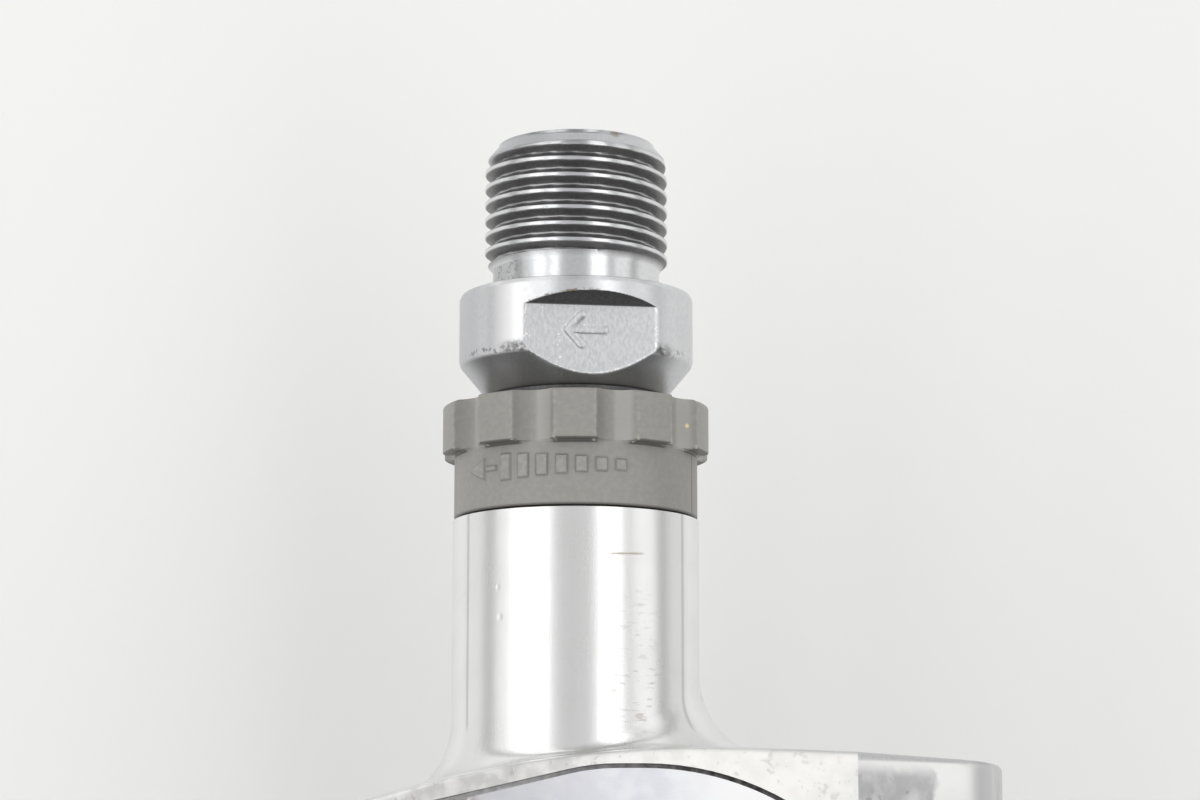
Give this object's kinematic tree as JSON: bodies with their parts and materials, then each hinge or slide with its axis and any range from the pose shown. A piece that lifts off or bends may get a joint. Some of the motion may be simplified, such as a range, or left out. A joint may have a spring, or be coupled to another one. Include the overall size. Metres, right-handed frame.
{
  "type": "clipless road pedal",
  "caption": "Left-hand clipless road bicycle pedal: threaded axle with wrench flats, splined lock bolt, polished body with nose hook, wear plate and a sprung rear binding.",
  "frame": {"origin": "on the axle's axis, in the middle of the crank thread", "axes": "+Y along the axle out of the thread end towards the crank, +Z out of the cleat face, -X towards the nose, +X towards the rear binding"},
  "size_m": [0.0814, 0.0863, 0.0288],
  "materials": {
    "axle": "chrome plated, bright, with scuffs on the thread",
    "bearing_inner_ring": "ground bearing steel",
    "lock_washer": "plain zinc",
    "lock_nut": "plain zinc",
    "needle_rollers": "ground bearing steel",
    "needle_cage": "pressed steel",
    "bearing_balls": "polished bearing steel",
    "bearing_cage": "turned brass",
    "pedal_body": "polished forging with fine scratches",
    "lock_bolt": "warm grey moulding",
    "dust_seal": "black rubber",
    "axle_tube": "turned steel",
    "needle_cup": "drawn steel",
    "bearing_outer_ring": "ground bearing steel",
    "cover_plate": "satin stainless sheet",
    "cover_screws": "stainless",
    "pivot_pin": "ground steel",
    "spring_sleeve": "black moulding",
    "binding": "satin casting",
    "inner_spring": "oil-tempered spring wire",
    "outer_spring": "oil-tempered spring wire",
    "tension_plate": "zinc plated",
    "tension_screw": "black oxide"
  },
  "bodies": {
    "axle": {"axle": "axle", "bearing_inner_ring": "bearing_inner_ring", "lock_washer": "lock_washer", "lock_nut": "lock_nut"},
    "needle_set": {"needle_rollers": "needle_rollers", "needle_cage": "needle_cage"},
    "ball_set": {"bearing_balls": "bearing_balls", "bearing_cage": "bearing_cage"},
    "pedal": {"pedal_body": "pedal_body", "lock_bolt": "lock_bolt", "dust_seal": "dust_seal", "axle_tube": "axle_tube", "needle_cup": "needle_cup", "bearing_outer_ring": "bearing_outer_ring", "cover_plate": "cover_plate", "cover_screws": "cover_screws", "pivot_pin": "pivot_pin", "spring_sleeve": "spring_sleeve", "inner_spring": "inner_spring", "outer_spring": "outer_spring"},
    "binding": {"binding": "binding"},
    "tension_plate": {"tension_plate": "tension_plate"},
    "tension_screw": {"tension_screw": "tension_screw"}
  },
  "joints": [
    {"name": "pedal_spin", "type": "hinge", "parent": "axle", "child": "pedal", "pos_m": [0, -0.0605, 0], "axis": [0, 1, 0], "continuous": true},
    {"name": "needle_orbit", "type": "hinge", "parent": "axle", "child": "needle_set", "pos_m": [0, -0.0605, 0], "axis": [0, 1, 0], "continuous": true},
    {"name": "ball_orbit", "type": "hinge", "parent": "axle", "child": "ball_set", "pos_m": [0, -0.0605, 0], "axis": [0, 1, 0], "continuous": true},
    {"name": "binding_pivot", "type": "hinge", "parent": "pedal", "child": "binding", "pos_m": [0.0255, -0.0605, 0.0015], "axis": [0, 1, 0], "range_deg": [0, 16], "stiffness_Nm_per_rad": 1, "springref_deg": -20.05, "deforming": ["inner_spring", "outer_spring"]},
    {"name": "tension_screw_turn", "type": "hinge", "parent": "binding", "child": "tension_screw", "pos_m": [0.0344, -0.0605, 0.0097], "axis": [-1, 0, 0], "range_deg": [0, 1080]},
    {"name": "tension_plate_slide", "type": "slide", "parent": "binding", "child": "tension_plate", "axis": [1, 0, 0], "range_m": [0, 0.0021]}
  ],
  "couplings": [
    {"joint": "needle_orbit", "follows": "pedal_spin", "ratio": 0.56757},
    {"joint": "ball_orbit", "follows": "pedal_spin", "ratio": 0.58482},
    {"joint": "tension_screw_turn", "follows": "tension_plate_slide", "rad_per_m": 8976}
  ]
}
